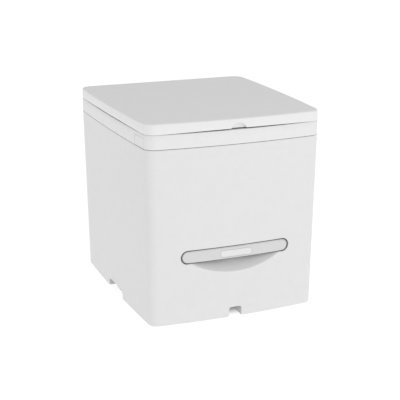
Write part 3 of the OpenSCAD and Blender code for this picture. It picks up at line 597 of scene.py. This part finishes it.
def to_object(part, name):
    me = bpy.data.meshes.new(name)
    bm = bmesh.new()
    vs = [bm.verts.new(Vector(p) * MM) for p in part.v]
    for f in part.f:
        if len(set(f)) >= 3:
            try:
                bm.faces.new([vs[i] for i in dict.fromkeys(f)])
            except ValueError:
                pass
    bmesh.ops.remove_doubles(bm, verts=bm.verts[:], dist=1e-7)
    bmesh.ops.delete(bm, geom=[v for v in bm.verts if not v.link_faces], context="VERTS")
    bmesh.ops.recalc_face_normals(bm, faces=bm.faces[:])
    bm.to_mesh(me)
    bm.free()
    o = bpy.data.objects.new(name, me)
    bpy.context.scene.collection.objects.link(o)
    return o
def cut(part, cutters):
    """The part with the cutters taken away, as a Mesh in mm."""
    o = to_object(part, "work")
    tools = [to_object(c, f"tool{i}") for i, c in enumerate(cutters)]
    for t in tools:
        m = o.modifiers.new("cut", "BOOLEAN")
        m.operation, m.solver, m.object = "DIFFERENCE", "EXACT", t
    bpy.context.view_layer.update()
    e = o.evaluated_get(bpy.context.evaluated_depsgraph_get())
    me = e.to_mesh()
    out = Mesh()
    out.v = [tuple(c / MM for c in v.co) for v in me.vertices]
    out.f = [tuple(p.vertices) for p in me.polygons]
    e.to_mesh_clear()
    for x in [o, *tools]:
        d = x.data
        bpy.data.objects.remove(x)
        bpy.data.meshes.remove(d)
    return out
def obround_loop(r, n=33, y0=-43.0, y1=31.0):
    q = np.linspace(0, np.pi, n)
    a = [(r * math.cos(t), y1 + r * math.sin(t)) for t in q]
    b = [(-r * math.cos(t), y0 - r * math.sin(t)) for t in q]
    s1 = [(-r, y) for y in np.linspace(y1, y0, 9)[1:-1]]
    s2 = [(r, y) for y in np.linspace(y0, y1, 9)[1:-1]]
    return np.array(a + s1 + b + s2)
HINGE_Y = 208.0

# ---------------------------------------------------------------- seat band
seat = Mesh()
zbl = np.maximum(360.5, 360.2 + (CY - 207.2) * 0.96875)
zbu = np.minimum(388.4, 389.0 - (CY - 207.0) * 1.6923)
wl, wu = smooth((zbl - 360.5) / 1.0), smooth((388.4 - zbu) / 1.0)
oA = np.maximum(0.9, (CY - 207.5) / CNY * (CY > 207.5))
oA2 = np.maximum(0.9, (CY - 207.35) / CNY * (CY > 207.35))
oB = 3.0 + 10.2 * smooth((CY - 200) / 8)
mixw = lambda a, b, w: a + (b - a) * w
rings = [(oB, 384.4), (oB, 360.5), (oA, 360.5),
         (mixw(0.33, 0.5, wl), mixw(360.65, zbl - 0.45, wl)), (0.0, mixw(361.2, zbl + 0.35, wl)),
         (0.0, mixw(364.0, 368.0, wl)), (0.0, mixw(376, 374.0, wu)), (0.0, mixw(387.5, zbu - 0.4, wu)),
         (mixw(0.28, 0.35, wu), mixw(388.13, zbu + 0.45, wu)), (oA2, 388.4), (oA2 + 0.7, 388.4)]
ids = []
for o_, z_ in rings:
    ids.append(seat.add(capskin.at(CU, z_ + 0 * CU, o_ + 0 * CU)))
for a, b in zip(ids, ids[1:]):
    seat.strip(a, b)
in_loop = obround_loop(124.3)
in_ids = seat.add([(x, y, 388.4) for x, y in in_loop])
lower_ids = seat.add([(x, y, 384.4) for x, y in in_loop])
topring = np.array([seat.v[i][:2] for i in ids[-1]])
roofring = np.array([seat.v[i][:2] for i in ids[0]])
gx, gy = np.meshgrid(np.arange(-180, 181, 15.0), np.arange(-200, 201, 15.0))
def free_grid(outer_loop, inner_loops, gap=6.0):
    g = np.stack([gx.ravel(), gy.ravel()], 1)
    a = np.concatenate([outer_loop] + inner_loops)
    return g[np.sqrt(((g[:, None] - a[None]) ** 2).sum(2)).min(1) > gap]
gt = free_grid(topring, [in_loop])
seat.fill([ids[-1], in_ids], [topring, in_loop], gt, seat.add([(x, y, 388.4) for x, y in gt]))
seat.fill([ids[0], lower_ids], [roofring, in_loop])
seat.strip(in_ids, lower_ids)
cutters = []
for s in (-1, 1):
    x0, x1 = sorted((s * 168.0, s * 200.0))
    cutters.append(box_cut(x0, x1, -188.66, -144.7, 350.0, 381.5))
    for a, b, z in ((79.6, 95.4, 360.0), (124.6, 140.4, 360.0), (94.9, 125.1, 389.5)):
        p, q = sorted((s * a, s * b))
        cutters.append(tube_x(6.55, p, q, HINGE_Y, z))
seat_cut = cut(seat, cutters)
def keep_seat(v, t):
    d = depth_in(cap(0.0), v[:, :2])[t]
    p = v[t]
    inner = d.max(1) > 3.15
    flat_top = (np.abs(p[:, :, 2] - 388.4) < 0.05).all(1)
    roof = (np.abs(p[:, :, 2] - 384.4) < 0.05).all(1) | (np.abs(p[:, :, 2] - 360.5) < 0.05).all(1)
    backzone = (p[:, :, 1] > 199.5).all(1)
    hinge = ((np.abs(p[:, :, 0]) > 78) & (np.abs(p[:, :, 0]) < 142) & (p[:, :, 1] > 195)).all(1)
    r2 = np.minimum(np.hypot(p[:, :, 1] - 208, p[:, :, 2] - 360), np.hypot(p[:, :, 1] - 208, p[:, :, 2] - 389.5))
    skin_ = (d < 0.1).all(1) | (np.abs(d - 3) < 0.05).all(1)
    return inner & ~flat_top & ~roof & ~backzone & ~hinge & ~skin_
knuckle_parts = []
for s in (-1, 1):
    for a, b, z in ((95.4, 124.6, 360.0), (80, 95, 389.5), (125, 140, 389.5)):
        p, q = sorted((s * a, s * b))
        knuckle_parts.append((tube_x(6.0, p, q, HINGE_Y, z, bore=2.55, lip=0.5), True))
finish_mesh("seat_section", [(seat_cut, False), (cad_rest("seat_frame", keep_seat), False)] + knuckle_parts, "seat", "seat_white", ["seat_frame"])

# ---------------------------------------------------------------- lid
lid = Mesh()
zl = 388.75 + 2.25 * inside01(t_front) ** 1.2 + 1.8 * (inside01(t_left) + inside01(t_right)) ** 1.1
zl = np.where(CY > 190, 388.75 + 1.85 * smooth((CY - 190) / 12), zl)
zb = np.maximum(zl, 389.7 + (CY - 207.2) * 0.96875)
wb = smooth((zb - zl) / 1.0)
lA = np.maximum(1.1, (CY - 208.1) / CNY * (CY > 208.1))
back_front = smooth((25.0 - np.abs(CX - 1)) / 2.5) * (CY < -150)
lB = 3.2 + 10.0 * smooth((CY - 200) / 8) + 7.6 * back_front
zA = mixw(zl, 390.6, wb)
fil = [(3.3 - 3.1 * math.cos(a), 406.9 + 3.1 * math.sin(a)) for a in np.linspace(0, math.pi / 2, 8)]
rings = [(lB, 406.9), (lB, zA), (lA, zA), (mixw(0.5, 0.65, wb), mixw(zl + 0.13, zb - 0.45, wb)), (0.2, mixw(zl + 0.7, zb + 0.35, wb)),
         (0.2, 397.6), (0.2, 402.0), (0.2, 406.0)] + [(o_, z_) for o_, z_ in fil] + [(4.4, 410.0)]
ids = [lid.add(capskin.at(CU, z_ + 0 * CU, o_ + 0 * CU)) for o_, z_ in rings]
for a, b in zip(ids, ids[1:]):
    lid.strip(a, b)
top2 = np.array([lid.v[i][:2] for i in ids[-1]])
gt = free_grid(top2, [top2[:1]])
lid.fill([ids[-1]], [top2], gt, lid.add([(x, y, 410.0) for x, y in gt]))
roof2 = np.array([lid.v[i][:2] for i in ids[0]])
lid.fill([ids[0]], [roof2])
cutters = [tube_y(18.0, -230.0, -208.6, 1.0, 383.2)]
for s in (-1, 1):
    for a, b in ((79.6, 95.4), (124.6, 140.4)):
        p, q = sorted((s * a, s * b))
        cutters.append(tube_x(6.55, p, q, HINGE_Y, 389.5))
lid_cut = cut(lid, cutters)
LS = [(s * x, y) for s in (-1, 1) for x, y in ((165, -160), (172, 0), (170, 160), (70, -190))]
def keep_lid(v, t):
    p = v[t]
    ok = np.zeros(len(t), bool)
    for x, y in LS:
        ok |= (np.hypot(p[:, :, 0] - x, p[:, :, 1] - y) < 4.3).all(1)
    return ok & (p[:, :, 2] < 407.3).all(1)
kn = []
for s in (-1, 1):
    p, q = sorted((s * 95.4, s * 124.6))
    kn.append((tube_x(6.0, p, q, HINGE_Y, 389.5, bore=2.55, lip=0.5), True))
finish_mesh("lid_cover", [(lid_cut, False), (cad_rest("lid_shell", keep_lid), False)] + kn, "lid", "lid_white", ["lid_shell"])

# ---------------------------------------------------------------- pull-out handle
def stadium(hl, hh, zc=DZ, n=20, m=40):
    P = []
    for q in np.linspace(-90, 90, n + 1):
        a = math.radians(q)
        P.append((hl - hh + hh * math.cos(a), zc + hh * math.sin(a)))
    P += [(x, zc + hh) for x in np.linspace(hl - hh, -hl + hh, m)[1:-1]]
    for q in np.linspace(90, 270, n + 1):
        a = math.radians(q)
        P.append((-hl + hh + hh * math.cos(a), zc + hh * math.sin(a)))
    P += [(x, zc - hh) for x in np.linspace(-hl + hh, hl - hh, m)[1:-1]]
    return np.array(P)
yf = lambda x: -211.3 + np.asarray(x) ** 2 / 3000.0
bar = Mesh()
def bar_ring(part, o_, y_, hl=113.7, hh=12.0, zc=DZ, crown=None):
    s_ = stadium(hl - o_, hh - o_, zc)
    y = (crown(s_[:, 0]) + y_) if crown else np.full(len(s_), y_)
    return part.add(np.stack([s_[:, 0], y, s_[:, 1]], 1)), s_
prof = [(1.2, -199.0, None), (0.35, -199.2, None), (0.0, -200.0, None), (0.0, 2.3, yf), (0.12, 1.75, yf), (0.4, 1.4, yf),
        (1.7, 0.5, yf), (2.1, 0.18, yf), (2.6, 0.03, yf), (3.4, 0.0, yf)]
rr = [bar_ring(bar, o_, y_, crown=c_) for o_, y_, c_ in prof]
for (a, _), (b, _) in zip(rr, rr[1:]):
    bar.strip(a, b)
inlay_rr = [bar_ring(bar, o_, y_, 34.4, 7.4, 139.2, c_) for o_, y_, c_ in ((-0.9, 0.0, yf), (-0.25, 0.0, yf), (-0.06, 0.06, yf), (0.0, 0.3, yf), (0.0, -209.8, None))]
for (a, _), (b, _) in zip(inlay_rr, inlay_rr[1:]):
    bar.strip(a, b)
fx, fz = np.meshgrid(np.arange(-108, 109, 4.5), [131.5, 135.5, 140.2, 145, 149])
fg = np.stack([fx.ravel(), fz.ravel()], 1)
near_ = np.concatenate([rr[-1][1], inlay_rr[0][1]])
inside_in = (np.abs(fg[:, 0]) < 36) & (np.abs(fg[:, 1] - 139.2) < 9.4)
fg = fg[(np.sqrt(((fg[:, None] - near_[None]) ** 2).sum(2)).min(1) > 1.6) & ~inside_in]
fg = fg[np.abs(fg[:, 1] - DZ) < 8.2]
fids = bar.add(np.stack([fg[:, 0], yf(fg[:, 0]), fg[:, 1]], 1))
bar.fill([rr[-1][0], inlay_rr[0][0]], [rr[-1][1], inlay_rr[0][1]], fg, fids)
bar.fill([inlay_rr[-1][0]], [inlay_rr[-1][1]])
pockets, pl = [], []
for s in (-1, 1):
    def rect(o_, y_):
        x0, x1, z0, z1, r = 18 + o_, 98 - o_, DZ - 9.4 + o_, DZ + 9.4 - o_, 3.0 - o_ * 0.5
        P = []
        for cx, cz, q0 in ((x1 - r, z1 - r, 0), (x0 + r, z1 - r, 90), (x0 + r, z0 + r, 180), (x1 - r, z0 + r, 270)):
            P += [(cx + r * math.cos(math.radians(q0 + k * 15)), cz + r * math.sin(math.radians(q0 + k * 15))) for k in range(7)]
        P = np.array(P) * np.array([s, 1])
        return bar.add(np.stack([P[:, 0], np.full(len(P), y_), P[:, 1]], 1)), P
    rs = [rect(-0.4, -199.0), rect(0.0, -199.4), rect(0.15, -204.4), rect(0.6, -205.0)]
    for (a, _), (b, _) in zip(rs, rs[1:]):
        bar.strip(a, b)
    bar.fill([rs[-1][0]], [rs[-1][1]])
    pockets.append(rs[0][0]); pl.append(rs[0][1])
bar.fill([rr[0][0]] + pockets, [rr[0][1]] + pl)
keep_hub = lambda v, t: ((v[t][:, :, 1] > -199.7) & (np.hypot(v[t][:, :, 0], v[t][:, :, 2] - DZ) < 12.7)).all(1)
finish_mesh("pull_bar", [(bar, True), (cad_rest("handle_bar", keep_hub), False)], "handle", "handle_grey", ["handle_bar"], angle=24)

lens = Mesh()
yi = lambda x: -211.48 + np.asarray(x) ** 2 / 3000.0
lr = [bar_ring(lens, o_, y_, 33.9, 6.9, 139.2, c_) for o_, y_, c_ in ((0.0, -209.85, None), (0.0, 0.45, yi), (0.12, 0.15, yi), (0.45, 0.0, yi), (1.0, 0.0, yi))]
for (a, _), (b, _) in zip(lr, lr[1:]):
    lens.strip(a, b)
lens.fill([lr[0][0]], [lr[0][1]])
gx2 = np.array([(x, z) for x in np.arange(-30, 31, 5.0) for z in (136.5, 139.2, 142)])
gi = lens.add(np.stack([gx2[:, 0], yi(gx2[:, 0]), gx2[:, 1]], 1))
lens.fill([lr[-1][0]], [lr[-1][1]], gx2, gi)
finish_mesh("bar_inlay", [(lens, True)], "handle", "inlay_white", ["handle_inlay"], angle=40)

# dark rubber-grey strip round the bar: painted shadow, a dark sheet that darkens the gap to the recess where there is
# only shade
gap_shadow_strip = Mesh()
br = [bar_ring(gap_shadow_strip, o_, y_) for o_, y_ in ((0.02, -201.0), (-1.7, -201.4), (-1.8, -204.0), (-1.7, -206.4), (0.02, -206.8))]
for (a, _), (b, _) in zip(br, br[1:]):
    gap_shadow_strip.strip(a, b)
gap_shadow_strip.strip(br[-1][0], br[0][0])
finish_mesh("bar_gap_painted_shadow", [(gap_shadow_strip, True)], "handle", "rubber_grey", angle=50)

# small edge rounding on the two latches, CAD parts that stay
def soften(name, width=0.5, seg=2, angle=40):
    o = nodes[name]
    w = o.modifiers.new("weld", "WELD")
    w.merge_threshold = 1e-5
    b = o.modifiers.new("bevel", "BEVEL")
    b.width, b.segments, b.limit_method, b.angle_limit = width * MM, seg, "ANGLE", math.radians(angle)
    b.use_clamp_overlap = True
    b.harden_normals = False
for nm in ("latch_left", "latch_right"):
    soften(nm, 0.6, 3)

# ---------------------------------------------------------------- floor and light
FLOOR_LIGHT = 0.83
def floor():
    me = bpy.data.meshes.new("floor")
    bm = bmesh.new()
    bmesh.ops.create_grid(bm, x_segments=4, y_segments=4, size=20)
    bm.to_mesh(me); bm.free()
    o = bpy.data.objects.new("floor", me)
    bpy.context.scene.collection.objects.link(o)
    o.location.z = -0.0002
    m = material("floor_pale", (0.3, 0.3, 0.3), 0.85, grain=300, bump=0.02, vary=0.004, spec=0.1)
    p = next(n for n in m.node_tree.nodes if n.type == "BSDF_PRINCIPLED")
    p.inputs["Emission Color"].default_value = (1, 1, 1, 1)
    # self-lit outside the footprint, so the studio sweep stays even; the glow drops under the housing, which paints a
    # contact shadow on the floor there
    nt = m.node_tree
    tc = next(n for n in nt.nodes if n.type == "TEX_COORD")
    sp = nt.nodes.new("ShaderNodeSeparateXYZ")
    nt.links.new(tc.outputs["Object"], sp.inputs[0])
    def mth(op, a, b=None):
        q = nt.nodes.new("ShaderNodeMath")
        q.operation = op
        for k, v in enumerate((a, b)):
            if v is None:
                continue
            if isinstance(v, (int, float)):
                q.inputs[k].default_value = v
            else:
                nt.links.new(v, q.inputs[k])
        return q.outputs[0]
    far = mth("MAXIMUM", mth("DIVIDE", mth("ABSOLUTE", sp.outputs[0]), 0.1866), mth("DIVIDE", mth("ABSOLUTE", sp.outputs[1]), 0.2096))
    mr = nt.nodes.new("ShaderNodeMapRange")
    mr.inputs["From Min"].default_value, mr.inputs["From Max"].default_value = 0.80, 0.93
    mr.inputs["To Min"].default_value, mr.inputs["To Max"].default_value = 0.25, FLOOR_LIGHT
    nt.links.new(far, mr.inputs["Value"])
    nt.links.new(mr.outputs[0], p.inputs["Emission Strength"])
    me.materials.append(m)
floor()
world = bpy.data.worlds.new("world")
bpy.context.scene.world = world
world.use_nodes = True
bg = next(n for n in world.node_tree.nodes if n.type == "BACKGROUND")
bg.inputs[0].default_value = (1.0, 0.995, 0.99, 1)
bg.inputs[1].default_value = 0.68
def area(name, az, el, dist, size, power, color=(1, 1, 1)):
    l = bpy.data.lights.new(name, "AREA")
    l.shape, l.size, l.energy, l.color = "DISK", size, power, color
    o = bpy.data.objects.new(name, l)
    bpy.context.scene.collection.objects.link(o)
    a, e = math.radians(az), math.radians(el)
    d = Vector((math.sin(a) * math.cos(e), -math.cos(a) * math.cos(e), math.sin(e)))
    o.location = Vector((0, 0, 0.2)) + d * dist
    o.rotation_mode = "QUATERNION"
    o.rotation_quaternion = (-d).to_track_quat("-Z", "Y")
area("key", 16, 31, 3.2, 1.6, 15.0)
